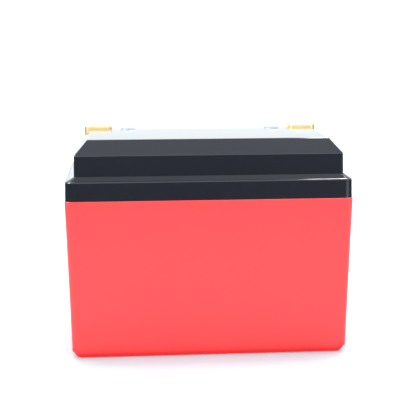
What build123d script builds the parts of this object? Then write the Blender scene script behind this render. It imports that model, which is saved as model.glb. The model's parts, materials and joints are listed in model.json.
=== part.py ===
"""Lithium iron phosphate starter battery for a motorcycle.

A tapered moulded case, a two-tier lid with a hipped roof, two brass block terminals standing in
open bays at the lid's terminal side, a vent plug beside each, the terminals' M6 bolts with washers,
and the cell pack inside.

Frame: origin at the bottom centre of the case, +X along the length towards the positive
terminal, +Y towards the terminal side, +Z up. Millimetres.
"""

from build123d import *
from math import cos, radians, tan
import os

os.makedirs("parts", exist_ok=True)

# ---------------------------------------------------------------- driving dimensions
LENGTH = 150.0
WIDTH = 87.0
RIM_Z = 84.2
LID_TOP_Z = 115.0

# case
CASE_DRAFT = radians(1.5)
CASE_WALL = 2.5
CASE_FLOOR = 3.0
CASE_CORNER = 3.0
PLINTH_TOP_Z = 3.8
PLINTH_STEP = 0.9
PLINTH_CHAMFER = 1.8
PLINTH_CHAMFER_Z = 2.6
PLINTH_CORNER = 2.4
RIM_EDGE = 0.4
WELL_CORNER = 1.5

# seal between case and lid, in a rebate of the rim
SEAL_DEPTH = 1.2
SEAL_WIDTH = 0.9
SEAL_GAP = 0.05
RIM_LIP = 1.4

# lid: skirt, sloping shoulder, upper block with hipped roof
SKIRT_INSET = 0.3
SKIRT_DRAFT = 0.2
SKIRT_CORNER = 3.7
SKIRT_TOP_Z = 94.5
SKIRT_EDGE = 0.9
BLOCK_LENGTH = 139.9
BLOCK_REACH_Y = 40.2
BLOCK_BASE_Z = 96.6
BLOCK_DRAFT = 0.2
BLOCK_CORNER = 1.3
BLOCK_EDGE = 0.9
EAVE_Z = 107.4
ROOF_LENGTH = 126.2
ROOF_NEAR_Y = -33.9
ROOF_FAR_Y = 22.6
REAR_WALL_Y = 23.4
LID_WALL = 2.5
TONGUE_LENGTH = 144.5
TONGUE_WIDTH = 81.5
TONGUE_DEPTH = 5.0
TONGUE_WALL = 1.6

# lid: terminal deck, shelf between the terminals, raised polarity marks on the shelf's far face
DECK_Z = 99.0
DECK_UNDERSIDE_Z = 94.1
DECK_INSET = 0.4
DECK_EDGE = 0.6
SHELF_LENGTH = 96.0
SHELF_Z = 110.8
SHELF_CORNER = 2.5
MARK_X = 41.5
MARK_LENGTH = 6.0
MARK_STROKE = 1.5
MARK_RELIEF = 0.3
MARK_ROOT = 0.5

# domed vent plugs pressed into the shelf
PLUG_X = 41.5
PLUG_Y = 29.5
PLUG_TOP_Z = 117.4
PLUG_DIAMETER = 9.2
PLUG_DOME = 2.4
PLUG_FLANGE_DIAMETER = 11.0
PLUG_FLANGE_HEIGHT = 1.2
PLUG_FLANGE_EDGE = 0.3
PLUG_STEM_DIAMETER = 5.0
PLUG_STEM_LENGTH = 5.0
PLUG_STEM_CLEARANCE = 0.1

# brass terminal
TERMINAL_X = 58.6
TERMINAL_Y = 30.6
TERMINAL_LENGTH = 15.6
TERMINAL_DEPTH = 13.6
TERMINAL_TOP_Z = 117.0
TERMINAL_CORNER = 3.0
TERMINAL_EDGE = 0.8
TAP_DRILL = 5.0
TAP_CHAMFER = 0.6
TOP_TAP_DEPTH = 7.5
FRONT_TAP_Z = 105.4
FRONT_TAP_SPARE = 1.2
COUNTERSINK = 90
SHANK_DIAMETER = 8.0
SHANK_CLEARANCE = 0.1
SHANK_END_Z = 83.6

# M6 terminal bolt and its washers
BOLT_DIAMETER = 6.0
BOLT_CLEARANCE = 0.05
BOLT_BORE = BOLT_DIAMETER + 2 * BOLT_CLEARANCE
BOLT_LENGTH = 12.0
BOLT_HEAD_FLATS = 10.0
BOLT_HEAD_HEIGHT = 3.5
BOLT_HEAD_BEVEL = 0.2
BOLT_TIP_EDGE = 0.6
BOLT_SLOT_LENGTH = 6.0
BOLT_SLOT_WIDTH = 1.4
BOLT_SLOT_DEPTH = 1.4
SPRING_WASHER_OUTER = 10.2
SPRING_WASHER_THICKNESS = 1.4
SPRING_WASHER_SPLIT = 0.8
FLAT_WASHER_OUTER = 12.4
FLAT_WASHER_THICKNESS = 1.2
WASHER_BORE = 6.2

# stack under the deck that clamps the lead's lug on the shank
SHANK_STACK_OUTER = 14.0
SHANK_SEAL_THICKNESS = 1.5
LUG_THICKNESS = 1.5
LUG_NECK = 3.5
LUG_NECK_OVERLAP = 1.0
LUG_BARREL_OUTER = 8.4
LUG_BARREL_INNER = 6.2
LUG_BARREL_LENGTH = 11.0
LUG_BARREL_DROP = 2.0
SHANK_WASHER_THICKNESS = 1.2
NUT_FLATS = 13.0
NUT_HEIGHT = 5.0
LEAD_DIAMETER = 6.0
LEAD_GRIP = 9.0
LEAD_BEND = 22.0

# cells and their holders
CELL_DIAMETER = 32.0
CELL_HEIGHT = 70.0
CELL_PITCH = 33.6
CELL_BASE_Z = 7.0
CELL_BUTTON_DIAMETER = 14.0
CELL_BUTTON_HEIGHT = 0.8
CELL_GROOVE_DEPTH = 0.6
CELL_GROOVE_WIDTH = 2.0
CELL_CRIMP_HEIGHT = 2.0
CELL_EDGE = 0.5
HOLDER_LENGTH = 136.0
HOLDER_WIDTH = 68.8
HOLDER_LIP = 1.2
HOLDER_SOCKET_DEPTH = 7.0
HOLDER_CLEARANCE = 0.2
HOLDER_CORNER = 4.0

# conductors on the cell ends
BAR_THICKNESS = 0.6
BAR_DEPTH = 52.0
END_BAR_LENGTH = 20.0
LINK_LENGTH = CELL_PITCH + END_BAR_LENGTH
TAB_WIDTH = 6.0
BAR_CORNER = 1.0
UPPER_TAB_REACH_Y = 32.5
LOWER_TAB_REACH_Y = 37.4
WINDOW_CLEARANCE = 0.3

# pads and insulating sheets
PAD_THICKNESS = 2.0
SHEET_THICKNESS = 0.8
END_PAD_DEPTH = 60.0
END_PAD_THICKNESS = 2.0
PAD_GAP = 0.1
SIDE_PAD_LENGTH = 56.0
SIDE_PAD_THICKNESS = 3.6
WALL_PAD_LOW_Z = 15.0
WALL_PAD_HIGH_Z = 69.0

# balance board
BOARD_LENGTH = 92.0
BOARD_DEPTH = 56.0
BOARD_THICKNESS = 1.6
BOARD_Z = 84.0
BOARD_CORNER = 2.0
CAPACITOR_DIAMETER = 6.3
CAPACITOR_HEIGHT = 7.0
CAPACITOR_X = 12.0
CAPACITOR_Y = 14.0
RESISTOR_SIZE = (6.3, 3.2, 0.7)
RESISTOR_COLUMNS = (14.0, 22.0)
RESISTOR_ROWS = (-22.0, -17.0)
TRANSISTOR_SIZE = (6.6, 6.1, 2.3)
TRANSISTOR_COLUMNS = (13.0, 24.0)
TRANSISTOR_ROW = -8.0
CONTROLLER_SIZE = (9.0, 9.0, 1.2)
BOSS_DIAMETER = 6.5
BOSS_BORE = 3.1
BOSS_Y = 24.0
SCREW_DIAMETER = 3.0
SCREW_HEAD_DIAMETER = 5.5
SCREW_HEAD_HEIGHT = 2.0
SCREW_LENGTH = 6.0

# balance header on the board, its plug and its wires
HEADER_LENGTH = 15.0
HEADER_NEAR_Y = 17.0
HEADER_HEIGHT = 5.6
HEADER_WALL = 0.8
CONNECTOR_NEAR_Y = 19.0
CONNECTOR_FACE_Y = 29.0
CONNECTOR_CLEARANCE = 0.1
WIRE_DIAMETER = 1.4
WIRE_PITCH = 2.5
WIRE_BEND = 6.0
WIRE_CHANNEL = 2.0

# ---------------------------------------------------------------- derived places
CELL_TOP_Z = CELL_BASE_Z + CELL_HEIGHT
LOWER_HOLDER_Z = CELL_BASE_Z - HOLDER_LIP
UPPER_HOLDER_TOP_Z = CELL_TOP_Z + HOLDER_LIP
COLUMN_X = [(column - 1.5) * CELL_PITCH for column in range(4)]
ROW_Y = [-CELL_PITCH / 2, CELL_PITCH / 2]
BOARD_TOP_Z = BOARD_Z + BOARD_THICKNESS
BOARD_POSTS = [(x, y) for x in (-CELL_PITCH, CELL_PITCH) for y in (-BOSS_Y, BOSS_Y)]
CELL_PLACES = [(x, y) for x in COLUMN_X for y in ROW_Y]
SOCKET = CELL_DIAMETER + 2 * HOLDER_CLEARANCE
HOLDER_HEIGHT = HOLDER_LIP + HOLDER_SOCKET_DEPTH
TERMINAL_FRONT_Y = TERMINAL_Y + TERMINAL_DEPTH / 2
SHANK_BORE = SHANK_DIAMETER + 2 * SHANK_CLEARANCE
STACK_TOP_Z = DECK_UNDERSIDE_Z - SHANK_SEAL_THICKNESS
LUG_Z = STACK_TOP_Z - LUG_THICKNESS
SHANK_WASHER_Z = LUG_Z - SHANK_WASHER_THICKNESS
NUT_Z = SHANK_WASHER_Z - NUT_HEIGHT
HEAD_SEAT = FLAT_WASHER_THICKNESS + SPRING_WASHER_THICKNESS
BOLT_ENGAGEMENT = BOLT_LENGTH - HEAD_SEAT
SIDES = {"negative": -1, "positive": 1}


# ---------------------------------------------------------------- shared helpers
def rim_size(z):
    """Outer length and width of the tapered case wall at a height."""
    loss = 2 * (RIM_Z - z) * tan(CASE_DRAFT)
    return LENGTH - loss, WIDTH - loss


def centred(length, width):
    """A rectangle centred on the frame, in the form that tapered_block takes."""
    return length, -width / 2, width / 2


def tapered_block(low_z, low, high_z, high, radii=None, mode=Mode.ADD):
    """Loft between two level rectangles, each (length, near y, far y), with optional corner radii."""
    sections = []
    for index, (z, (length, near_y, far_y)) in enumerate(((low_z, low), (high_z, high))):
        with BuildSketch(Plane.XY.offset(z)) as section:
            with Locations((0, (near_y + far_y) / 2)):
                if radii:
                    RectangleRounded(length, far_y - near_y, radii[index])
                else:
                    Rectangle(length, far_y - near_y)
        sections.append(section.sketch)
    loft(sections, ruled=True, mode=mode)


def level_plate(low_z, thickness, length, width, radius, centre=(0, 0), mode=Mode.ADD):
    """A flat plate with rounded corners."""
    with BuildSketch(Plane.XY.offset(low_z)) as outline:
        with Locations(centre):
            RectangleRounded(length, width, radius)
    extrude(outline.sketch, amount=thickness, mode=mode)


def disc(low_z, thickness, diameter, centre=(0, 0), mode=Mode.ADD):
    """An upright cylinder."""
    with BuildSketch(Plane.XY.offset(low_z)) as outline:
        with Locations(centre):
            Circle(diameter / 2)
    extrude(outline.sketch, amount=thickness, mode=mode)


def hexagon(low_z, thickness, flats, centre=(0, 0), mode=Mode.ADD):
    """An upright hexagonal prism, sized across its flats."""
    with BuildSketch(Plane.XY.offset(low_z)) as outline:
        with Locations(centre):
            RegularPolygon(flats / 2, 6, major_radius=False)
    extrude(outline.sketch, amount=thickness, mode=mode)


def block(low, high, mode=Mode.ADD):
    """A plain block between two corners."""
    size = [high[axis] - low[axis] for axis in range(3)]
    middle = tuple((high[axis] + low[axis]) / 2 for axis in range(3))
    with Locations(middle):
        Box(*size, mode=mode)


def tube(plane, length, outer, bore):
    """A round tube, or a flat ring, standing on a plane."""
    with BuildSketch(plane) as outline:
        Circle(outer / 2)
        Circle(bore / 2, mode=Mode.SUBTRACT)
    extrude(outline.sketch, amount=length)


def front_plane(side):
    """Plane on a terminal's front face, centred on its bolt and facing +Y."""
    return Plane(origin=(side * TERMINAL_X, TERMINAL_FRONT_Y, FRONT_TAP_Z), x_dir=(1, 0, 0), z_dir=(0, 1, 0))


def is_steep(edge):
    """True for the edges that run up the corners of a block."""
    return abs(edge.tangent_at(0.5).Z) > 0.5


def publish(piece, name):
    """Label a finished piece and write its STEP file."""
    piece.part.label = name
    export_step(piece.part, f"parts/{name}.step")


# ---------------------------------------------------------------- case
with BuildPart() as case:
    wall_foot = rim_size(PLINTH_TOP_Z)
    plinth = [side - 2 * PLINTH_STEP for side in wall_foot]
    sole = [side - 2 * PLINTH_CHAMFER for side in plinth]
    tapered_block(PLINTH_TOP_Z, centred(*wall_foot), RIM_Z, centred(LENGTH, WIDTH))
    fillet(case.edges().filter_by(is_steep), CASE_CORNER)
    fillet(case.faces().sort_by(Axis.Z)[-1].edges(), RIM_EDGE)
    level_plate(PLINTH_CHAMFER_Z, PLINTH_TOP_Z - PLINTH_CHAMFER_Z, *plinth, PLINTH_CORNER)
    sole_radii = (PLINTH_CORNER, PLINTH_CORNER)
    tapered_block(0, centred(*sole), PLINTH_CHAMFER_Z, centred(*plinth), sole_radii)
    mouth = (LENGTH - 2 * CASE_WALL, WIDTH - 2 * CASE_WALL)
    well = [side - 2 * CASE_WALL for side in rim_size(CASE_FLOOR)]
    well_radii = (WELL_CORNER, WELL_CORNER)
    tapered_block(CASE_FLOOR, centred(*well), RIM_Z, centred(*mouth), well_radii, Mode.SUBTRACT)
    rebate = (LENGTH - 2 * RIM_LIP, WIDTH - 2 * RIM_LIP)
    level_plate(RIM_Z - SEAL_DEPTH, SEAL_DEPTH, *rebate, CASE_CORNER - RIM_LIP, mode=Mode.SUBTRACT)
publish(case, "case")

# ---------------------------------------------------------------- seal in the rim's rebate
with BuildPart() as lid_seal:
    seal_outer = [side - 2 * SEAL_GAP for side in rebate]
    seal_inner = [side - 2 * SEAL_WIDTH for side in seal_outer]
    level_plate(RIM_Z - SEAL_DEPTH, SEAL_DEPTH, *seal_outer, CASE_CORNER - RIM_LIP)
    level_plate(RIM_Z - SEAL_DEPTH, SEAL_DEPTH, *seal_inner, WELL_CORNER / 2, mode=Mode.SUBTRACT)
publish(lid_seal, "lid_seal")

# ---------------------------------------------------------------- lid
skirt_foot = (LENGTH - 2 * SKIRT_INSET, WIDTH - 2 * SKIRT_INSET)
skirt_top = [side - 2 * SKIRT_DRAFT for side in skirt_foot]
shoulder_foot = [side - 2 * SKIRT_EDGE for side in skirt_top]
block_foot = (BLOCK_LENGTH, 2 * BLOCK_REACH_Y)
block_draft = 2 * BLOCK_DRAFT

with BuildPart() as upper_block:
    walls_foot = (BLOCK_LENGTH, -BLOCK_REACH_Y, REAR_WALL_Y)
    eave = (BLOCK_LENGTH - block_draft, BLOCK_DRAFT - BLOCK_REACH_Y, REAR_WALL_Y - BLOCK_DRAFT)
    ridge = (ROOF_LENGTH, ROOF_NEAR_Y, ROOF_FAR_Y)
    tapered_block(BLOCK_BASE_Z, walls_foot, EAVE_Z, eave)
    tapered_block(EAVE_Z, eave, LID_TOP_Z, ridge)
    fillet(upper_block.edges().filter_by_position(Axis.Z, BLOCK_BASE_Z + 1, LID_TOP_Z), BLOCK_EDGE)

with BuildPart() as deck:
    deck_end = BLOCK_LENGTH / 2 - DECK_INSET
    deck_reach = BLOCK_REACH_Y - DECK_INSET
    block((-deck_end, 0, BLOCK_BASE_Z), (deck_end, deck_reach, DECK_Z))
    fillet(deck.edges().filter_by(Axis.Z).group_by(Axis.Y)[-1], BLOCK_CORNER)
    fillet(deck.faces().sort_by(Axis.Z)[-1].edges(), DECK_EDGE)

with BuildPart() as shelf:
    shelf_foot = (SHELF_LENGTH, 0, BLOCK_REACH_Y)
    shelf_top = (SHELF_LENGTH - block_draft, 0, BLOCK_REACH_Y - BLOCK_DRAFT)
    tapered_block(BLOCK_BASE_Z, shelf_foot, SHELF_Z, shelf_top)
    fillet(shelf.edges().filter_by(is_steep).group_by(Axis.Y)[-1], SHELF_CORNER)
    fillet(shelf.faces().sort_by(Axis.Z)[-1].edges(), DECK_EDGE)

with BuildPart() as polarity_marks:
    mark_z = (DECK_Z + SHELF_Z) / 2
    mark_depth = MARK_ROOT + MARK_RELIEF
    mark_y = BLOCK_REACH_Y - BLOCK_DRAFT + MARK_RELIEF - mark_depth / 2
    with Locations((-MARK_X, mark_y, mark_z), (MARK_X, mark_y, mark_z)):
        Box(MARK_LENGTH, mark_depth, MARK_STROKE)
    with Locations((MARK_X, mark_y, mark_z)):
        Box(MARK_STROKE, mark_depth, MARK_LENGTH)

with BuildPart() as lid:
    # skirt with a rounded top edge, then the sloping shoulder
    tapered_block(RIM_Z, centred(*skirt_foot), SKIRT_TOP_Z, centred(*skirt_top))
    fillet(lid.edges().filter_by(is_steep), SKIRT_CORNER)
    fillet(lid.faces().sort_by(Axis.Z)[-1].edges(), SKIRT_EDGE)
    shoulder_radii = (SKIRT_CORNER - SKIRT_EDGE, BLOCK_CORNER)
    tapered_block(SKIRT_TOP_Z, centred(*shoulder_foot), BLOCK_BASE_Z, centred(*block_foot), shoulder_radii)
    add([deck.part, upper_block.part, shelf.part, polarity_marks.part])
    # tongue that drops inside the case
    level_plate(RIM_Z - TONGUE_DEPTH, TONGUE_DEPTH, TONGUE_LENGTH, TONGUE_WIDTH, WELL_CORNER)
    # hollow: below the deck, under the main block and its roof, and under the shelf
    hollow = (TONGUE_LENGTH - 2 * TONGUE_WALL, TONGUE_WIDTH - 2 * TONGUE_WALL)
    hollow_z = RIM_Z - TONGUE_DEPTH
    level_plate(hollow_z, DECK_UNDERSIDE_Z - hollow_z, *hollow, WELL_CORNER, mode=Mode.SUBTRACT)
    loft_foot = (BLOCK_LENGTH - 2 * LID_WALL, LID_WALL - BLOCK_REACH_Y, REAR_WALL_Y - LID_WALL)
    loft_top = (ROOF_LENGTH - 2 * LID_WALL, ROOF_NEAR_Y + LID_WALL, ROOF_FAR_Y - LID_WALL)
    loft_eave_z = EAVE_Z - LID_WALL / 2
    loft_radii = (BLOCK_CORNER, BLOCK_CORNER)
    tapered_block(DECK_UNDERSIDE_Z, loft_foot, loft_eave_z, loft_foot, loft_radii, Mode.SUBTRACT)
    tapered_block(loft_eave_z, loft_foot, LID_TOP_Z - LID_WALL, loft_top, loft_radii, Mode.SUBTRACT)
    shelf_hollow = (SHELF_LENGTH / 2 - LID_WALL, BLOCK_REACH_Y - LID_WALL, SHELF_Z - LID_WALL)
    block((-shelf_hollow[0], 0, DECK_UNDERSIDE_Z), shelf_hollow, mode=Mode.SUBTRACT)
    # shank holes through the deck and plug holes through the shelf
    stem_hole = PLUG_STEM_DIAMETER + 2 * PLUG_STEM_CLEARANCE
    for side in SIDES.values():
        shank_place = (side * TERMINAL_X, TERMINAL_Y)
        disc(DECK_UNDERSIDE_Z, DECK_Z - DECK_UNDERSIDE_Z, SHANK_BORE, shank_place, Mode.SUBTRACT)
        disc(SHELF_Z - LID_WALL, LID_WALL, stem_hole, (side * PLUG_X, PLUG_Y), Mode.SUBTRACT)
publish(lid, "lid")

# ---------------------------------------------------------------- vent plugs
for polarity, side in SIDES.items():
    centre = (side * PLUG_X, PLUG_Y)
    with BuildPart() as vent_plug:
        disc(SHELF_Z, PLUG_TOP_Z - SHELF_Z, PLUG_DIAMETER, centre)
        fillet(vent_plug.edges().group_by(Axis.Z)[-1], PLUG_DOME)
        disc(SHELF_Z, PLUG_FLANGE_HEIGHT, PLUG_FLANGE_DIAMETER, centre)
        flange_rim = vent_plug.edges().filter_by(GeomType.CIRCLE).sort_by(SortBy.RADIUS)[-2:]
        fillet(flange_rim.sort_by(Axis.Z)[-1], PLUG_FLANGE_EDGE)
        disc(SHELF_Z - PLUG_STEM_LENGTH, PLUG_STEM_LENGTH, PLUG_STEM_DIAMETER, centre)
    publish(vent_plug, f"{polarity}_vent_plug")

# ---------------------------------------------------------------- brass terminals
for polarity, side in SIDES.items():
    centre = (side * TERMINAL_X, TERMINAL_Y)
    height = TERMINAL_TOP_Z - DECK_Z
    with BuildPart() as terminal:
        level_plate(DECK_Z, height, TERMINAL_LENGTH, TERMINAL_DEPTH, TERMINAL_CORNER, centre)
        fillet(terminal.faces().sort_by(Axis.Z)[-1].edges(), TERMINAL_EDGE)
        disc(SHANK_END_Z, DECK_Z - SHANK_END_Z, SHANK_DIAMETER, centre)
        with Locations((*centre, TERMINAL_TOP_Z)):
            CounterSinkHole(TAP_DRILL / 2, TAP_DRILL / 2 + TAP_CHAMFER, TOP_TAP_DEPTH, COUNTERSINK)
        with Locations(front_plane(side)):
            front_depth = BOLT_ENGAGEMENT + FRONT_TAP_SPARE
            CounterSinkHole(BOLT_BORE / 2, BOLT_BORE / 2 + TAP_CHAMFER, front_depth, COUNTERSINK)
    publish(terminal, f"{polarity}_terminal")

# ---------------------------------------------------------------- terminal bolts and washers
for polarity, side in SIDES.items():
    face = front_plane(side)

    with BuildPart() as flat_washer:
        tube(face, FLAT_WASHER_THICKNESS, FLAT_WASHER_OUTER, WASHER_BORE)
    publish(flat_washer, f"{polarity}_flat_washer")

    with BuildPart() as spring_washer:
        tube(face.offset(FLAT_WASHER_THICKNESS), SPRING_WASHER_THICKNESS, SPRING_WASHER_OUTER, WASHER_BORE)
        split_low = face.origin - Vector(SPRING_WASHER_SPLIT / 2, 0, 0)
        split_high = face.origin + Vector(SPRING_WASHER_SPLIT / 2, HEAD_SEAT, SPRING_WASHER_OUTER)
        block(tuple(split_low), tuple(split_high), mode=Mode.SUBTRACT)
    publish(spring_washer, f"{polarity}_spring_washer")

    with BuildPart() as bolt:
        seat = face.offset(HEAD_SEAT)
        with BuildSketch(seat) as hex_outline:
            RegularPolygon(BOLT_HEAD_FLATS / 2, 6, major_radius=False)
        extrude(hex_outline.sketch, amount=BOLT_HEAD_HEIGHT)
        # turning a bevelled outline about the bolt's axis trims the six corners of the head
        corner_reach = BOLT_HEAD_FLATS / 2 / cos(radians(30))
        bevel = corner_reach - BOLT_HEAD_FLATS / 2 + BOLT_HEAD_BEVEL
        outline_plane = Plane(origin=seat.origin, x_dir=(1, 0, 0), z_dir=(0, 0, 1))
        with BuildSketch(outline_plane) as bevelled:
            Polygon(
                (0, 0),
                (corner_reach, 0),
                (corner_reach, BOLT_HEAD_HEIGHT - bevel / 2),
                (corner_reach - bevel, BOLT_HEAD_HEIGHT),
                (0, BOLT_HEAD_HEIGHT),
                align=None,
            )
        revolve(bevelled.sketch, axis=Axis(seat.origin, (0, 1, 0)), mode=Mode.INTERSECT)
        with BuildSketch(seat.offset(BOLT_HEAD_HEIGHT)) as cross:
            for angle in (0, 90):
                Rectangle(BOLT_SLOT_LENGTH, BOLT_SLOT_WIDTH, rotation=angle)
        extrude(cross.sketch, amount=-BOLT_SLOT_DEPTH, mode=Mode.SUBTRACT)
        with BuildSketch(face.offset(-BOLT_ENGAGEMENT)) as shank:
            Circle(BOLT_DIAMETER / 2)
        extrude(shank.sketch, amount=BOLT_LENGTH)
        fillet(bolt.edges().filter_by(GeomType.CIRCLE).sort_by(Axis.Y)[0], BOLT_TIP_EDGE)
    publish(bolt, f"{polarity}_terminal_bolt")

# ---------------------------------------------------------------- clamp stacks and leads under the deck
for polarity, side in SIDES.items():
    centre = (side * TERMINAL_X, TERMINAL_Y)

    with BuildPart() as shank_seal:
        tube(Plane((*centre, STACK_TOP_Z)), SHANK_SEAL_THICKNESS, SHANK_STACK_OUTER, SHANK_BORE)
    publish(shank_seal, f"{polarity}_shank_seal")

    barrel_mouth_y = TERMINAL_Y - SHANK_STACK_OUTER / 2 - LUG_NECK - LUG_BARREL_LENGTH
    barrel_plane = Plane(
        origin=(side * TERMINAL_X, barrel_mouth_y, LUG_Z + LUG_THICKNESS / 2 - LUG_BARREL_DROP),
        x_dir=(1, 0, 0),
        z_dir=(0, 1, 0),
    )
    with BuildPart() as lug:
        disc(LUG_Z, LUG_THICKNESS, SHANK_STACK_OUTER, centre)
        neck_near_y = barrel_mouth_y + LUG_BARREL_LENGTH - LUG_NECK_OVERLAP
        neck_low = (side * TERMINAL_X - LUG_BARREL_OUTER / 2, neck_near_y, LUG_Z)
        neck_high = (side * TERMINAL_X + LUG_BARREL_OUTER / 2, TERMINAL_Y, LUG_Z + LUG_THICKNESS)
        block(neck_low, neck_high)
        with BuildSketch(barrel_plane) as barrel:
            Circle(LUG_BARREL_OUTER / 2)
        extrude(barrel.sketch, amount=LUG_BARREL_LENGTH)
        with BuildSketch(barrel_plane) as barrel_bore:
            Circle(LUG_BARREL_INNER / 2)
        extrude(barrel_bore.sketch, amount=LUG_BARREL_LENGTH, mode=Mode.SUBTRACT)
        disc(LUG_Z, LUG_THICKNESS, SHANK_BORE, centre, mode=Mode.SUBTRACT)
    publish(lug, f"{polarity}_lug")

    with BuildPart() as shank_washer:
        tube(Plane((*centre, SHANK_WASHER_Z)), SHANK_WASHER_THICKNESS, SHANK_STACK_OUTER, SHANK_BORE)
    publish(shank_washer, f"{polarity}_shank_washer")

    with BuildPart() as shank_nut:
        hexagon(NUT_Z, NUT_HEIGHT, NUT_FLATS, centre)
        disc(NUT_Z, NUT_HEIGHT, SHANK_DIAMETER + 2 * BOLT_CLEARANCE, centre, mode=Mode.SUBTRACT)
    publish(shank_nut, f"{polarity}_shank_nut")

    # flexible lead from the lug's barrel down to the end bar it is soldered to
    lead_z = barrel_plane.origin.Z
    bar_z = CELL_TOP_Z + BAR_THICKNESS + LEAD_DIAMETER / 2
    lead_end_x = side * (COLUMN_X[-1] + END_BAR_LENGTH / 4)
    bend_start = Vector(side * TERMINAL_X, barrel_mouth_y, lead_z)
    bend_end = Vector(lead_end_x, barrel_mouth_y - LEAD_BEND, bar_z)
    half_bend = Vector(0, LEAD_BEND / 2, 0)
    with BuildPart() as lead:
        with BuildLine() as route:
            Line(bend_start + Vector(0, LEAD_GRIP, 0), bend_start)
            Bezier(bend_start, bend_start - half_bend, bend_end + half_bend, bend_end)
            Line(bend_end, bend_end - Vector(0, LEAD_GRIP, 0))
        with BuildSketch(Plane(origin=route.line @ 0, z_dir=route.line % 0)) as core:
            Circle(LEAD_DIAMETER / 2)
        sweep(core.sketch, path=route.line)
    publish(lead, f"{polarity}_lead")

# ---------------------------------------------------------------- cells, polarity alternating by column
cell_number = 0
for column, cell_x in enumerate(COLUMN_X):
    button_up = column % 2 == 1
    start_z = CELL_BASE_Z if button_up else CELL_TOP_Z
    step = 1 if button_up else -1
    for cell_y in ROW_Y:
        cell_number += 1
        radius = CELL_DIAMETER / 2
        neck = radius - CELL_GROOVE_DEPTH
        button = CELL_BUTTON_DIAMETER / 2
        shoulder = CELL_HEIGHT - CELL_BUTTON_HEIGHT
        crimp = shoulder - CELL_CRIMP_HEIGHT
        can = [
            (0, 0),
            (radius, 0),
            (radius, crimp - CELL_GROOVE_WIDTH),
            (neck, crimp - CELL_GROOVE_WIDTH + CELL_EDGE),
            (neck, crimp - CELL_EDGE),
            (radius, crimp),
            (radius, shoulder - CELL_EDGE),
            (radius - CELL_EDGE, shoulder),
            (button, shoulder),
            (button, CELL_HEIGHT),
            (0, CELL_HEIGHT),
        ]
        upright = Plane(origin=(cell_x, cell_y, start_z), x_dir=(1, 0, 0), z_dir=(0, -step, 0))
        with BuildPart() as cell:
            with BuildSketch(upright) as half_section:
                Polygon(*can, align=None)
            revolve(half_section.sketch, axis=Axis((cell_x, cell_y, 0), (0, 0, 1)))
        publish(cell, f"cell_{cell_number}")

# ---------------------------------------------------------------- conductors on the cell ends
BARS = {
    # name: (centre x, length, low z, y that the solder tab reaches)
    "negative_busbar": (COLUMN_X[0], END_BAR_LENGTH, CELL_TOP_Z, UPPER_TAB_REACH_Y),
    "upper_series_link": (0.0, LINK_LENGTH, CELL_TOP_Z, UPPER_TAB_REACH_Y),
    "positive_busbar": (COLUMN_X[-1], END_BAR_LENGTH, CELL_TOP_Z, UPPER_TAB_REACH_Y),
    "left_series_link": (-CELL_PITCH, LINK_LENGTH, CELL_BASE_Z - BAR_THICKNESS, LOWER_TAB_REACH_Y),
    "right_series_link": (CELL_PITCH, LINK_LENGTH, CELL_BASE_Z - BAR_THICKNESS, LOWER_TAB_REACH_Y),
}


def bar_outline(x, length, tab_reach, margin, low_z, thickness, mode=Mode.ADD):
    """A bar with its solder tab towards +Y, or the window for it when a margin is given."""
    level_plate(low_z, thickness, length + 2 * margin, BAR_DEPTH + 2 * margin, BAR_CORNER, (x, 0), mode)
    half_tab = TAB_WIDTH / 2 + margin
    block((x - half_tab, 0, low_z), (x + half_tab, tab_reach + margin, low_z + thickness), mode=mode)


def bar_windows(low_z, high_z):
    """Cut the windows for the bars that lie between two heights, through a holder's lip."""
    for bar_x, bar_length, bar_low_z, tab_reach in BARS.values():
        if low_z <= bar_low_z < high_z:
            bar_outline(bar_x, bar_length, tab_reach, WINDOW_CLEARANCE, low_z, HOLDER_LIP, Mode.SUBTRACT)


for name, (bar_x, bar_length, bar_low_z, tab_reach) in BARS.items():
    with BuildPart() as bar:
        bar_outline(bar_x, bar_length, tab_reach, 0, bar_low_z, BAR_THICKNESS)
    publish(bar, name)

# ---------------------------------------------------------------- cell holders
with BuildPart() as lower_cell_holder:
    level_plate(LOWER_HOLDER_Z, HOLDER_HEIGHT, HOLDER_LENGTH, HOLDER_WIDTH, HOLDER_CORNER)
    for place in CELL_PLACES:
        disc(CELL_BASE_Z, HOLDER_SOCKET_DEPTH, SOCKET, place, mode=Mode.SUBTRACT)
    bar_windows(LOWER_HOLDER_Z, CELL_BASE_Z)
publish(lower_cell_holder, "lower_cell_holder")

with BuildPart() as upper_cell_holder:
    socket_z = CELL_TOP_Z - HOLDER_SOCKET_DEPTH
    level_plate(socket_z, HOLDER_HEIGHT, HOLDER_LENGTH, HOLDER_WIDTH, HOLDER_CORNER)
    for place in CELL_PLACES:
        disc(socket_z, HOLDER_SOCKET_DEPTH, SOCKET, place, mode=Mode.SUBTRACT)
    bar_windows(CELL_TOP_Z, UPPER_HOLDER_TOP_Z)
    # bosses that carry the balance board
    for place in BOARD_POSTS:
        disc(UPPER_HOLDER_TOP_Z, BOARD_Z - UPPER_HOLDER_TOP_Z, BOSS_DIAMETER, place)
        disc(UPPER_HOLDER_TOP_Z, BOARD_Z - UPPER_HOLDER_TOP_Z, BOSS_BORE, place, mode=Mode.SUBTRACT)
publish(upper_cell_holder, "upper_cell_holder")

# ---------------------------------------------------------------- pads and insulating sheets
with BuildPart() as base_pad:
    level_plate(CASE_FLOOR, PAD_THICKNESS, HOLDER_LENGTH, HOLDER_WIDTH, HOLDER_CORNER)
publish(base_pad, "base_pad")

with BuildPart() as base_insulator:
    level_plate(CASE_FLOOR + PAD_THICKNESS, SHEET_THICKNESS, HOLDER_LENGTH, HOLDER_WIDTH, HOLDER_CORNER)
publish(base_insulator, "base_insulator")

with BuildPart() as top_insulator:
    level_plate(UPPER_HOLDER_TOP_Z, SHEET_THICKNESS, LINK_LENGTH, BAR_DEPTH, BAR_CORNER)
publish(top_insulator, "top_insulator")

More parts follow.
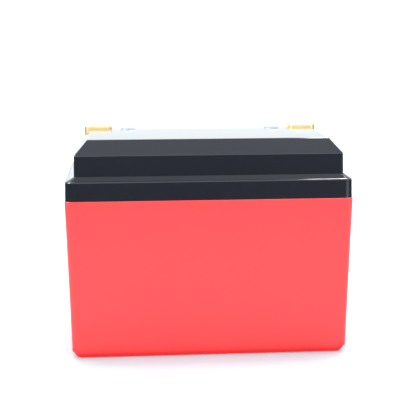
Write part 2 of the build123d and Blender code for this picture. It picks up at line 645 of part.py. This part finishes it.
for name, direction in (("left_end_pad", -1), ("right_end_pad", 1)):
    with BuildPart() as end_pad:
        inner_x = direction * (HOLDER_LENGTH / 2 + PAD_GAP)
        outer_x = inner_x + direction * END_PAD_THICKNESS
        block(
            (min(inner_x, outer_x), -END_PAD_DEPTH / 2, WALL_PAD_LOW_Z),
            (max(inner_x, outer_x), END_PAD_DEPTH / 2, WALL_PAD_HIGH_Z),
        )
    publish(end_pad, name)

for name, direction in (("plain_side_pad", -1), ("terminal_side_pad", 1)):
    with BuildPart() as side_pad:
        inner_y = direction * (HOLDER_WIDTH / 2 + PAD_GAP)
        outer_y = inner_y + direction * SIDE_PAD_THICKNESS
        block(
            (-SIDE_PAD_LENGTH / 2, min(inner_y, outer_y), WALL_PAD_LOW_Z),
            (SIDE_PAD_LENGTH / 2, max(inner_y, outer_y), WALL_PAD_HIGH_Z),
        )
    publish(side_pad, name)

# ---------------------------------------------------------------- balance board
with BuildPart() as circuit_board:
    level_plate(BOARD_Z, BOARD_THICKNESS, BOARD_LENGTH, BOARD_DEPTH, BOARD_CORNER)
    for place in BOARD_POSTS:
        disc(BOARD_Z, BOARD_THICKNESS, SCREW_DIAMETER + 2 * HOLDER_CLEARANCE, place, mode=Mode.SUBTRACT)
publish(circuit_board, "circuit_board")

with BuildPart() as board_screws:
    for place in BOARD_POSTS:
        disc(BOARD_TOP_Z, SCREW_HEAD_HEIGHT, SCREW_HEAD_DIAMETER, place)
        disc(BOARD_TOP_Z - SCREW_LENGTH, SCREW_LENGTH, SCREW_DIAMETER, place)
publish(board_screws, "board_screws")


def chips(places, size):
    """Equal rectangular components standing on the board."""
    length, depth, height = size
    for x, y in places:
        with Locations((x, y, BOARD_TOP_Z + height / 2)):
            Box(length, depth, height)


def both_sides(columns):
    """Places mirrored about the board's middle."""
    return [side * column for side in SIDES.values() for column in columns]


with BuildPart() as balance_resistors:
    chips([(x, y) for x in both_sides(RESISTOR_COLUMNS) for y in RESISTOR_ROWS], RESISTOR_SIZE)
publish(balance_resistors, "balance_resistors")

with BuildPart() as balance_transistors:
    chips([(x, TRANSISTOR_ROW) for x in both_sides(TRANSISTOR_COLUMNS)], TRANSISTOR_SIZE)
publish(balance_transistors, "balance_transistors")

with BuildPart() as balance_controller:
    chips([(0, 0)], CONTROLLER_SIZE)
publish(balance_controller, "balance_controller")

with BuildPart() as board_capacitors:
    for capacitor_x in (-CAPACITOR_X, CAPACITOR_X):
        disc(BOARD_TOP_Z, CAPACITOR_HEIGHT, CAPACITOR_DIAMETER, (capacitor_x, CAPACITOR_Y))
publish(board_capacitors, "board_capacitors")

# ---------------------------------------------------------------- balance header, plug and leads
header_low = (-HEADER_LENGTH / 2, HEADER_NEAR_Y, BOARD_TOP_Z)
header_high = (HEADER_LENGTH / 2, BOARD_DEPTH / 2, BOARD_TOP_Z + HEADER_HEIGHT)
socket_low = (header_low[0] + HEADER_WALL, CONNECTOR_NEAR_Y, BOARD_TOP_Z + HEADER_WALL)
socket_high = (header_high[0] - HEADER_WALL, BOARD_DEPTH / 2, header_high[2] - HEADER_WALL)
plug_low = [value + CONNECTOR_CLEARANCE for value in socket_low]
plug_high = (socket_high[0] - CONNECTOR_CLEARANCE, CONNECTOR_FACE_Y, socket_high[2] - CONNECTOR_CLEARANCE)

with BuildPart() as balance_header:
    block(header_low, header_high)
    block(socket_low, socket_high, mode=Mode.SUBTRACT)
publish(balance_header, "balance_header")

with BuildPart() as balance_plug:
    block(plug_low, plug_high)
publish(balance_plug, "balance_plug")

# one wire for each conductor, in the order of the cell string
STRING_ORDER = [
    "negative_busbar",
    "left_series_link",
    "upper_series_link",
    "right_series_link",
    "positive_busbar",
]
wire_exit_z = (plug_low[2] + plug_high[2]) / 2
side_channel_y = HOLDER_WIDTH / 2 + WIRE_CHANNEL
outward = Vector(0, WIRE_BEND, 0)
upward = Vector(0, 0, WIRE_BEND)

with BuildPart() as balance_leads:
    for index, name in enumerate(STRING_ORDER):
        bar_x, _, bar_low_z, tab_reach = BARS[name]
        tab_top_z = bar_low_z + BAR_THICKNESS
        wire_exit = Vector((index - 2) * WIRE_PITCH, CONNECTOR_FACE_Y, wire_exit_z)
        with BuildLine() as route:
            if bar_low_z >= CELL_TOP_Z:
                landing = Vector(bar_x, tab_reach - WIRE_DIAMETER, tab_top_z)
                Bezier(wire_exit, wire_exit + outward, landing + 1.5 * upward, landing)
            else:
                turn = Vector(bar_x, side_channel_y, UPPER_HOLDER_TOP_Z + 3 * WIRE_DIAMETER)
                Bezier(wire_exit, wire_exit + outward, turn + upward, turn)
                Line(turn, Vector(bar_x, side_channel_y, tab_top_z))
        with BuildSketch(Plane(origin=route.line @ 0, z_dir=route.line % 0)) as conductor:
            Circle(WIRE_DIAMETER / 2)
        sweep(conductor.sketch, path=route.line)
publish(balance_leads, "balance_leads")
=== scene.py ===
"""Looks for the motorcycle battery: materials for every CAD node, threaded bolts, studio and camera.

Lengths are in metres and colours are linear RGB.
"""

import json
import math

import bmesh
import bpy
from mathutils import Matrix, Vector


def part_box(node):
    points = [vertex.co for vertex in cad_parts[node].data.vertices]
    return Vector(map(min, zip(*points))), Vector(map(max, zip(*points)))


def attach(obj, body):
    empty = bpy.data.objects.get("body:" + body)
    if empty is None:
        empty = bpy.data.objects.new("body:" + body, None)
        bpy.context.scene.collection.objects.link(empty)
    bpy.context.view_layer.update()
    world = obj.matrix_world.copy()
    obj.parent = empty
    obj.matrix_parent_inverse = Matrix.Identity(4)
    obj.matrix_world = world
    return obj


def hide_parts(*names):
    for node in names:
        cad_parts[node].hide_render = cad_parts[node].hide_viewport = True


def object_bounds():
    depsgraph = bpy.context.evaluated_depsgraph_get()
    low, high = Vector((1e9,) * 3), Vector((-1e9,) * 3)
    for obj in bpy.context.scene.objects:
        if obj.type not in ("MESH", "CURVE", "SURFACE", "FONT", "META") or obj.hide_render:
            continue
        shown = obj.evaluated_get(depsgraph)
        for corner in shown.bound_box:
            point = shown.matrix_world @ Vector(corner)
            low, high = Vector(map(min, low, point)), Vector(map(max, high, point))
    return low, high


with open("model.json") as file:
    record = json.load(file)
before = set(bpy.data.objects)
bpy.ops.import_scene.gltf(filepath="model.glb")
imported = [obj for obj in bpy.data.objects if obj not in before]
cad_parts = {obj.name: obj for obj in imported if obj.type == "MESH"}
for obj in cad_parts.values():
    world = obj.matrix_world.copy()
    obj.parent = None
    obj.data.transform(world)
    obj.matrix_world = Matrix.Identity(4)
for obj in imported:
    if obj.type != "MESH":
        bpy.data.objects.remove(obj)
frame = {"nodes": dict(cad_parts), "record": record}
cad_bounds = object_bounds()

MM = 0.001
NODES = frame["nodes"]
SLOT_OF_NODE = {part["node"]: part["material_slot"] for part in frame["record"]["subparts"]}


# ---------------------------------------------------------------- node helpers
class Shader:
    """A material's node tree with short calls for the nodes that the finishes share."""

    def __init__(self, name):
        self.material = bpy.data.materials.new(name)
        self.material.use_nodes = True
        self.tree = self.material.node_tree
        self.surface = self.tree.nodes["Principled BSDF"]
        self.place = self.tree.nodes.new("ShaderNodeTexCoord").outputs["Object"]

    def link(self, source, target):
        """Joins an output socket to an input socket."""
        self.tree.links.new(source, target)

    def set(self, **values):
        """Fixed values for the surface's inputs, with _ for each space in a name."""
        for name, value in values.items():
            self.surface.inputs[name.replace("_", " ")].default_value = value

    def stretched(self, scale):
        """Object coordinates in metres, stretched along the axes."""
        node = self.tree.nodes.new("ShaderNodeMapping")
        node.inputs["Scale"].default_value = scale
        self.link(self.place, node.inputs["Vector"])
        return node.outputs["Vector"]

    def noise(self, size, detail=3.0, vector=None):
        """Noise whose features are about size metres across."""
        node = self.tree.nodes.new("ShaderNodeTexNoise")
        node.inputs["Scale"].default_value = 1.0 / size
        node.inputs["Detail"].default_value = detail
        self.link(vector or self.place, node.inputs["Vector"])
        return node.outputs["Fac"]

    def ramp(self, value, low, high, low_at=0.2, high_at=0.8):
        """A two-stop colour ramp between RGB colours."""
        node = self.tree.nodes.new("ShaderNodeValToRGB")
        node.color_ramp.elements[0].position = low_at
        node.color_ramp.elements[1].position = high_at
        node.color_ramp.elements[0].color = (*low, 1.0)
        node.color_ramp.elements[1].color = (*high, 1.0)
        self.link(value, node.inputs["Fac"])
        return node.outputs["Color"]

    def spread(self, value, low, high):
        """Maps 0..1 to low..high."""
        node = self.tree.nodes.new("ShaderNodeMapRange")
        node.inputs["To Min"].default_value = low
        node.inputs["To Max"].default_value = high
        self.link(value, node.inputs["Value"])
        return node.outputs["Result"]

    def bump(self, height, depth, normal=None):
        """Bump whose height runs over depth metres."""
        node = self.tree.nodes.new("ShaderNodeBump")
        node.inputs["Strength"].default_value = 1.0
        node.inputs["Distance"].default_value = depth
        self.link(height, node.inputs["Height"])
        if normal:
            self.link(normal, node.inputs["Normal"])
        return node.outputs["Normal"]

    def finish(self, color=None, roughness=None, normal=None):
        """Links what varies over the surface and gives the finished material."""
        for name, source in (("Base Color", color), ("Roughness", roughness), ("Normal", normal)):
            if source:
                self.link(source, self.surface.inputs[name])
        return self.material


# ---------------------------------------------------------------- finishes
FINISHES = {}

# sizes of the features that vary across a surface
COLOUR_DRIFT = 120 * MM
GLOSS_DRIFT = 20 * MM
FLOW_WAVE = 30 * MM
METAL_DRIFT = 4 * MM
TOOL_MARK = 0.5 * MM
TOOL_MARK_DEPTH = 0.01 * MM
SOFT_ROUGHNESS = (0.55, 0.85)


def moulded(name, low, high, roughness, grain, grain_depth, wave_depth):
    """Moulded plastic: slight colour drift, fine surface grain and faint flow waves."""
    shader = Shader(name)
    color = shader.ramp(shader.noise(COLOUR_DRIFT, detail=1.0), low, high)
    rough = shader.spread(shader.noise(GLOSS_DRIFT, detail=2.0), *roughness)
    waves = shader.bump(shader.noise(FLOW_WAVE, detail=1.0), wave_depth)
    normal = shader.bump(shader.noise(grain, detail=2.0), grain_depth, waves)
    FINISHES[name] = shader.finish(color, rough, normal)


def metal(name, low, high, roughness, streak_scale, grain_depth=TOOL_MARK_DEPTH):
    """Machined or rolled metal: tool marks, long along the axis with the lowest scale, and colour drift."""
    shader = Shader(name)
    shader.set(Metallic=1.0)
    color = shader.ramp(shader.noise(METAL_DRIFT, detail=4.0), low, high)
    streaks = shader.noise(TOOL_MARK, detail=4.0, vector=shader.stretched(streak_scale))
    rough = shader.spread(streaks, *roughness)
    FINISHES[name] = shader.finish(color, rough, shader.bump(streaks, grain_depth))


def soft(name, low, high, grain, grain_depth):
    """Rubber, foam, fibre and laminate: matt, with a grain of its own size."""
    shader = Shader(name)
    cells = shader.noise(grain, detail=6.0)
    color = shader.ramp(cells, low, high)
    rough = shader.spread(cells, *SOFT_ROUGHNESS)
    FINISHES[name] = shader.finish(color, rough, shader.bump(cells, grain_depth))


# case, lid and vent plugs
moulded(
    "case_plastic", (0.94, 0.031, 0.031), (0.97, 0.035, 0.035), roughness=(0.28, 0.34),
    grain=0.4 * MM, grain_depth=0.003 * MM, wave_depth=0.02 * MM,
)
moulded(
    "lid_plastic", (0.0135, 0.0135, 0.0175), (0.0165, 0.0165, 0.0205), roughness=(0.05, 0.09),
    grain=0.6 * MM, grain_depth=0.001 * MM, wave_depth=0.01 * MM,
)
moulded(
    "plug_nylon", (0.74, 0.775, 0.80), (0.80, 0.835, 0.86), roughness=(0.30, 0.40),
    grain=0.4 * MM, grain_depth=0.003 * MM, wave_depth=0.01 * MM,
)

# terminals, fasteners, lugs, bars and capacitors
metal(
    "terminal_brass", (0.91, 0.67, 0.28), (0.95, 0.73, 0.35), roughness=(0.28, 0.36),
    streak_scale=(1.0, 1.0, 0.05), grain_depth=0.004 * MM,
)
metal(
    "zinc_steel", (0.46, 0.48, 0.51), (0.58, 0.595, 0.61), roughness=(0.28, 0.42),
    streak_scale=(1.0, 1.0, 1.0),
)
metal(
    "tinned_copper", (0.66, 0.62, 0.58), (0.74, 0.71, 0.68), roughness=(0.28, 0.45),
    streak_scale=(1.0, 0.1, 1.0),
)
metal(
    "nickel_bar", (0.60, 0.58, 0.54), (0.68, 0.66, 0.62), roughness=(0.28, 0.40),
    streak_scale=(0.05, 1.0, 1.0),
)
metal(
    "capacitor_can", (0.66, 0.66, 0.68), (0.74, 0.74, 0.76), roughness=(0.28, 0.36),
    streak_scale=(1.0, 1.0, 0.1),
)

# cells, their holders and the balance connector
moulded(
    "cell_sleeve", (0.015, 0.10, 0.32), (0.022, 0.13, 0.38), roughness=(0.28, 0.36),
    grain=0.8 * MM, grain_depth=0.004 * MM, wave_depth=0.02 * MM,
)
moulded(
    "holder_plastic", (0.020, 0.020, 0.022), (0.030, 0.030, 0.032), roughness=(0.42, 0.55),
    grain=0.3 * MM, grain_depth=0.01 * MM, wave_depth=0.01 * MM,
)
moulded(
    "header_plastic", (0.68, 0.64, 0.52), (0.74, 0.70, 0.58), roughness=(0.35, 0.48),
    grain=0.4 * MM, grain_depth=0.004 * MM, wave_depth=0.01 * MM,
)

# seals, leads, pads, insulators and the circuit board
soft("seal_rubber", (0.030, 0.030, 0.030), (0.045, 0.045, 0.045), grain=0.4 * MM, grain_depth=0.02 * MM)
soft("red_lead", (0.45, 0.015, 0.015), (0.55, 0.025, 0.022), grain=0.6 * MM, grain_depth=0.01 * MM)
soft("black_lead", (0.014, 0.014, 0.014), (0.022, 0.022, 0.022), grain=0.6 * MM, grain_depth=0.01 * MM)
soft("lead_sleeve", (0.48, 0.03, 0.03), (0.58, 0.05, 0.04), grain=0.6 * MM, grain_depth=0.01 * MM)
soft("foam", (0.035, 0.036, 0.038), (0.070, 0.072, 0.076), grain=0.8 * MM, grain_depth=0.12 * MM)
soft("fibre_sheet", (0.42, 0.34, 0.20), (0.52, 0.44, 0.28), grain=1.2 * MM, grain_depth=0.03 * MM)
soft("board_laminate", (0.010, 0.10, 0.035), (0.014, 0.13, 0.045), grain=1.6 * MM, grain_depth=0.006 * MM)
soft("chip_plastic", (0.014, 0.014, 0.015), (0.022, 0.022, 0.023), grain=0.2 * MM, grain_depth=0.006 * MM)


def dress_cad_nodes():
    """Gives every CAD node the finish of its slot."""
    for name, node in NODES.items():
        node.data.materials.clear()
        node.data.materials.append(FINISHES[SLOT_OF_NODE[name]])


dress_cad_nodes()


# ---------------------------------------------------------------- threaded terminal bolts
# M6 coarse thread: one turn of the joint moves the bolt by one pitch
PITCH = 1 * MM
CREST_RADIUS = 3 * MM
THREAD_DEPTH = 0.6134 * PITCH
POINT_RADIUS = CREST_RADIUS - 1.5 * THREAD_DEPTH
# flats on the thread's crest and root, as shares of the pitch
CREST_FLAT = 1 / 8
ROOT_FLAT = 1 / 4

# plain collar under the head, the head's bevel and its cross recess
COLLAR = 0.6 * MM
HEAD_BEVEL = 0.2 * MM
BEVEL_SLOPE = 0.5
CROSS_LENGTH = 6 * MM
CROSS_WIDTH = 1.4 * MM
CROSS_DEPTH = 1.4 * MM

# fineness of the mesh
BOLT_SIDES = 60
RINGS_PER_TURN = 12
BEVEL_RINGS = 6
SHARP_ANGLE = math.radians(25)


def limited(value):
    """The value held between 0 and 1."""
    return min(max(value, 0.0), 1.0)


def thread_radius(along, turn, length):
    """Radius of the shank at a distance from its tip and a fraction of a turn round its axis.

    The thread fades into the collar over half its length, and the tip has a 45 degree point.
    """
    from_crest = abs((along / PITCH + turn) % 1.0 - 0.5) * 2
    fall = limited((from_crest - CREST_FLAT) / (1 - CREST_FLAT - ROOT_FLAT))
    into_collar = limited((along - length + COLLAR) / (COLLAR / 2))
    radius = CREST_RADIUS - THREAD_DEPTH * fall * (1 - into_collar)
    return min(radius, POINT_RADIUS + along)


def hexagon_radius(turn, flats):
    """Distance from the centre of a hexagon to its edge; a corner is at turn 0."""
    return flats / 2 / math.cos((turn * 2 * math.pi) % (math.pi / 3) - math.pi / 6)


def bolt_rings(length, head_height, flats):
    """(distance from the tip, radii round the axis) of each ring, from the tip to the head's top."""
    turns = [side / BOLT_SIDES for side in range(BOLT_SIDES)]
    steps = round(length / PITCH * RINGS_PER_TURN)
    rings = []
    for step in range(steps + 1):
        along = length * step / steps
        rings.append((along, [thread_radius(along, turn, length) for turn in turns]))
    rings.append((length, [hexagon_radius(turn, flats) for turn in turns]))
    corner = hexagon_radius(0, flats)
    bevel = corner - flats / 2 + HEAD_BEVEL
    for step in range(BEVEL_RINGS + 1):
        cut = bevel * step / BEVEL_RINGS
        radii = [min(hexagon_radius(turn, flats), corner - cut) for turn in turns]
        rings.append((length + head_height - (bevel - cut) * BEVEL_SLOPE, radii))
    return rings


def closed_piece(name, outlines):
    """An object whose closed mesh joins outlines with equal numbers of points and caps both ends."""
    shape = bmesh.new()
    loops = [[shape.verts.new(point) for point in outline] for outline in outlines]
    for low, high in zip(loops, loops[1:]):
        for side in range(len(low)):
            after = (side + 1) % len(low)
            shape.faces.new((low[side], low[after], high[after], high[side]))
    shape.faces.new(loops[0])
    shape.faces.new(loops[-1])
    bmesh.ops.recalc_face_normals(shape, faces=shape.faces)
    mesh = bpy.data.meshes.new(name)
    shape.to_mesh(mesh)
    shape.free()
    piece = bpy.data.objects.new(name, mesh)
    bpy.context.scene.collection.objects.link(piece)
    return piece


def cross_outline(centre, y):
    """Corners of the head's cross recess, in the plane at y."""
    near = CROSS_WIDTH / 2
    far = CROSS_LENGTH / 2
    corners = []
    for quarter in range(4):
        turned = Matrix.Rotation(quarter * math.pi / 2, 2)
        corners += [turned @ Vector(corner) for corner in ((far, -near), (far, near), (near, near))]
    return [(centre.x + corner.x, y, centre.z + corner.y) for corner in corners]


def cut_away(piece, cutter):
    """Subtracts cutter from piece and deletes it."""
    cut = piece.modifiers.new("cut", "BOOLEAN")
    cut.object = cutter
    cut.solver = "EXACT"
    seen = piece.evaluated_get(bpy.context.evaluated_depsgraph_get())
    mesh = bpy.data.meshes.new_from_object(seen)
    piece.modifiers.clear()
    piece.data = mesh
    bpy.data.objects.remove(cutter)


def threaded_bolt(polarity):
    """An M6 bolt with its thread cut for real and a cross recess in its hexagon head."""
    node = f"{polarity}_terminal_bolt"
    slot = SLOT_OF_NODE[node]
    low, high = (Vector(corner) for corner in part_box(node))
    centre = (low + high) / 2
    seat_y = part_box(f"{polarity}_spring_washer")[1][1]
    outlines = []
    for along, radii in bolt_rings(seat_y - low.y, high.y - seat_y, high.z - low.z):
        outline = []
        for side, radius in enumerate(radii):
            angle = 2 * math.pi * side / BOLT_SIDES
            x = centre.x + radius * math.cos(angle)
            z = centre.z + radius * math.sin(angle)
            outline.append((x, low.y + along, z))
        outlines.append(outline)
    bolt = closed_piece(f"{polarity}_threaded_bolt", outlines)
    recess_ends = (high.y - CROSS_DEPTH, high.y + CROSS_DEPTH)
    cut_away(bolt, closed_piece("cross_cutter", [cross_outline(centre, y) for y in recess_ends]))
    bolt.data.shade_smooth()
    bolt.data.set_sharp_from_angle(angle=SHARP_ANGLE)
    bolt.data.materials.clear()
    bolt.data.materials.append(FINISHES[slot])
    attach(bolt, f"{polarity}_bolt")
    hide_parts(node)


for polarity in ("positive", "negative"):
    threaded_bolt(polarity)


# ---------------------------------------------------------------- studio
FLOOR_HALF = 3.0
PAPER_TONES = ((0.58, 0.705, 0.71), (0.595, 0.72, 0.725))
PAPER_ROUGHNESS = (0.75, 0.9)
PAPER_DRIFT = 0.2
PAPER_GRAIN = 2 * MM

# black cards seen only in reflections: low screens round the object, and a sheet of painted shade on the
# floor at its foot; arcs are in degrees of azimuth
SCREEN_AND_SHADE_TONES = ((0.004, 0.004, 0.004), (0.006, 0.006, 0.006))
SCREEN_AND_SHADE_ROUGHNESS = 0.9
SCREEN_AND_SHADE_DRIFT = 0.1
SCREEN_RADIUS = 0.50
SCREEN_HEIGHT = 0.10
SCREEN_ARCS = {"left_screen": (-165, 25), "right_screen": (60, 165)}
SCREEN_STEP = 5
SHADE_MAT_MARGIN = 10 * MM
SHADE_MAT_Z = 0.2 * MM

# the tent's radiance by elevation in degrees, before and behind the object; no stop passes the peak
TENT_PEAK = 3.0
FRONT_TINT = (0.90, 0.96, 1.06)
FRONT_STOPS = [(0, 1.4), (8, 2.4), (32, 2.4), (44, 1.0), (62, 1.32), (70, 1.30), (84, 0.8)]
BACK_TINT = (0.91, 0.965, 1.0)
BACK_STOPS = [(0, 1.72), (10, 1.62), (22, 1.62), (38, 2.6), (80, 2.6), (87, 1.0)]
# the front blends into the back while a direction's y runs from minus to plus this
SIDE_BLEND = 0.2
# what the camera sees of the tent, as a share of the peak: brighter than white
CAMERA_SHARE = 0.5

LAMP_DISTANCE = 1.2
MIDDLE = (Vector(cad_bounds[0]) + Vector(cad_bounds[1])) / 2


def away(azimuth, elevation):
    """Unit vector towards an azimuth and elevation in degrees; azimuth 0 is the -Y side."""
    a = math.radians(azimuth)
    e = math.radians(elevation)
    return Vector((math.sin(a) * math.cos(e), -math.cos(a) * math.cos(e), math.sin(e)))


def staged(name, corners, faces, material):
    """A staged mesh: part of the studio, not of the object."""
    mesh = bpy.data.meshes.new(name)
    mesh.from_pydata(corners, [], faces)
    mesh.materials.append(material)
    piece = bpy.data.objects.new(name, mesh)
    bpy.context.scene.collection.objects.link(piece)
    return piece


def pale_floor():
    """A pale cool paper floor that runs past the edge of every view."""
    paper = Shader("paper")
    tone = paper.ramp(paper.noise(PAPER_DRIFT, detail=2.0), *PAPER_TONES)
    paper.finish(tone, paper.spread(paper.noise(PAPER_GRAIN, detail=2.0), *PAPER_ROUGHNESS))
    h = FLOOR_HALF
    staged("floor", [(-h, -h, 0), (h, -h, 0), (h, h, 0), (-h, h, 0)], [(0, 1, 2, 3)], paper.material)


def dark_card(name, corners, faces):
    """A black card that is seen only in reflections; it makes the screens and the painted shade at the
    case's foot.
    """
    card_finish = Shader(f"{name}_cloth")
    card_finish.finish(card_finish.ramp(card_finish.noise(SCREEN_AND_SHADE_DRIFT), *SCREEN_AND_SHADE_TONES))
    card_finish.set(Roughness=SCREEN_AND_SHADE_ROUGHNESS)
    card = staged(name, corners, faces, card_finish.material)
    card.visible_camera = False
    card.visible_diffuse = False
    card.visible_shadow = False


def dark_screen(name, start, end):
    """A low curved screen that keeps the lid's walls and rounded corners black."""
    low = [away(angle, 0) * SCREEN_RADIUS for angle in range(start, end + 1, SCREEN_STEP)]
    high = [corner + Vector((0, 0, SCREEN_HEIGHT)) for corner in low]
    count = len(low)
    faces = [(i, i + 1, count + i + 1, count + i) for i in range(count - 1)]
    dark_card(name, low + high, faces)


def painted_shade_mat():
    """Painted shade in reflections: a black sheet round the foot of the case, seen only in reflections, so
    that its lowest walls reflect a shaded floor instead of the paper.
    """
    low, high = (Vector(corner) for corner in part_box("case"))
    x = (high.x - low.x) / 2 + SHADE_MAT_MARGIN
    y = (high.y - low.y) / 2 + SHADE_MAT_MARGIN
    dark_card("foot_shade_mat", [(-x, -y, SHADE_MAT_Z), (x, -y, SHADE_MAT_Z), (x, y, SHADE_MAT_Z), (-x, y, SHADE_MAT_Z)], [(0, 1, 2, 3)])


def light_ramp(tree, height, stops, tint):
    """Tent colour by height, the sine of the elevation; stops are (elevation in degrees, radiance)."""
    ramp = tree.nodes.new("ShaderNodeValToRGB")
    elements = ramp.color_ramp.elements
    while len(elements) < len(stops):
        # its real position is set below
        elements.new(0.5)
    for element, (elevation, radiance) in zip(elements, stops):
        element.position = math.sin(math.radians(elevation))
        element.color = (*(radiance / TENT_PEAK * part for part in tint), 1.0)
    tree.links.new(height, ramp.inputs["Fac"])
    return ramp.outputs["Color"]


def light_tent():
    """A soft tent all round; the camera sees it plain white."""
    world = bpy.data.worlds.new("light_tent")
    world.use_nodes = True
    tree = world.node_tree
    background = tree.nodes["Background"]
    direction = tree.nodes.new("ShaderNodeTexCoord").outputs["Generated"]
    axes = tree.nodes.new("ShaderNodeSeparateXYZ")
    tree.links.new(direction, axes.inputs["Vector"])
    behind = tree.nodes.new("ShaderNodeMapRange")
    behind.inputs["From Min"].default_value = -SIDE_BLEND
    behind.inputs["From Max"].default_value = SIDE_BLEND
    tree.links.new(axes.outputs["Y"], behind.inputs["Value"])
    tent = tree.nodes.new("ShaderNodeMixRGB")
    tree.links.new(behind.outputs["Result"], tent.inputs["Fac"])
    tree.links.new(light_ramp(tree, axes.outputs["Z"], FRONT_STOPS, FRONT_TINT), tent.inputs["Color1"])
    tree.links.new(light_ramp(tree, axes.outputs["Z"], BACK_STOPS, BACK_TINT), tent.inputs["Color2"])
    seen = tree.nodes.new("ShaderNodeMixRGB")
    tree.links.new(tree.nodes.new("ShaderNodeLightPath").outputs["Is Camera Ray"], seen.inputs["Fac"])
    tree.links.new(tent.outputs["Color"], seen.inputs["Color1"])
    seen.inputs["Color2"].default_value = (CAMERA_SHARE, CAMERA_SHARE, CAMERA_SHARE, 1.0)
    tree.links.new(seen.outputs["Color"], background.inputs["Color"])
    background.inputs["Strength"].default_value = TENT_PEAK
    bpy.context.scene.world = world


def lamp(name, direction, size, radiance):
    """A soft box aimed at the object's middle, its width along X; radiance is what a mirror would see."""
    data = bpy.data.lights.new(name, "AREA")
    data.shape = "RECTANGLE"
    data.size, data.size_y = size
    data.energy = radiance * math.pi * size[0] * size[1]
    light = bpy.data.objects.new(name, data)
    bpy.context.scene.collection.objects.link(light)
    out = direction.normalized()
    depth = out.cross(Vector((1, 0, 0))).normalized()
    light.location = MIDDLE + out * LAMP_DISTANCE
    light.rotation_euler = Matrix((depth.cross(out), depth, out)).transposed().to_euler()
    return light


pale_floor()
for screen_name, (screen_start, screen_end) in SCREEN_ARCS.items():
    dark_screen(screen_name, screen_start, screen_end)
# painted shade of the floor at the case's foot, seen only in the case's reflections
painted_shade_mat()
light_tent()
# lights the floor and the lid from just behind the zenith, and leaves a shadow at the case's foot
overhead = lamp("overhead", direction=Vector((0.0, 0.24, 1.0)), size=(0.80, 0.44), radiance=7.0)
overhead.visible_glossy = False
# draws the thin white line on the lid's edges at the right
edge_strip = lamp("edge_strip", direction=Vector((0.30, 0.07, 0.95)), size=(0.24, 0.40), radiance=70.0)
edge_strip.visible_diffuse = False
# a glint on the lid's rounded corners at the left
corner_glint = lamp("corner_glint", direction=away(-60, 40), size=(0.75, 0.75), radiance=22.0)
corner_glint.visible_diffuse = False
bpy.context.scene.view_settings.view_transform = "Standard"

# ---------------------------------------------------------------- camera
CAMERA_AZIMUTH = -4.48
CAMERA_ELEVATION = 9.91
CAMERA_DISTANCE = 0.540
CAMERA_ROLL = -0.14
CAMERA_TARGET = Vector((-0.0013, -0.0435, 0.0801))
LENS_MM = 90.5
SENSOR_MM = 36.0
CLIP_NEAR = 0.05
CLIP_FAR = 20.0

camera_data = bpy.data.cameras.new("camera")
camera_data.sensor_width = SENSOR_MM
camera_data.lens = LENS_MM
camera_data.clip_start = CLIP_NEAR
camera_data.clip_end = CLIP_FAR
camera = bpy.data.objects.new("camera", camera_data)
bpy.context.scene.collection.objects.link(camera)
back = away(CAMERA_AZIMUTH, CAMERA_ELEVATION)
camera.location = CAMERA_TARGET + back * CAMERA_DISTANCE
aim = back.to_track_quat("Z", "Y").to_matrix()
camera.rotation_euler = (aim @ Matrix.Rotation(math.radians(CAMERA_ROLL), 3, "Z")).to_euler()
bpy.context.scene.camera = camera
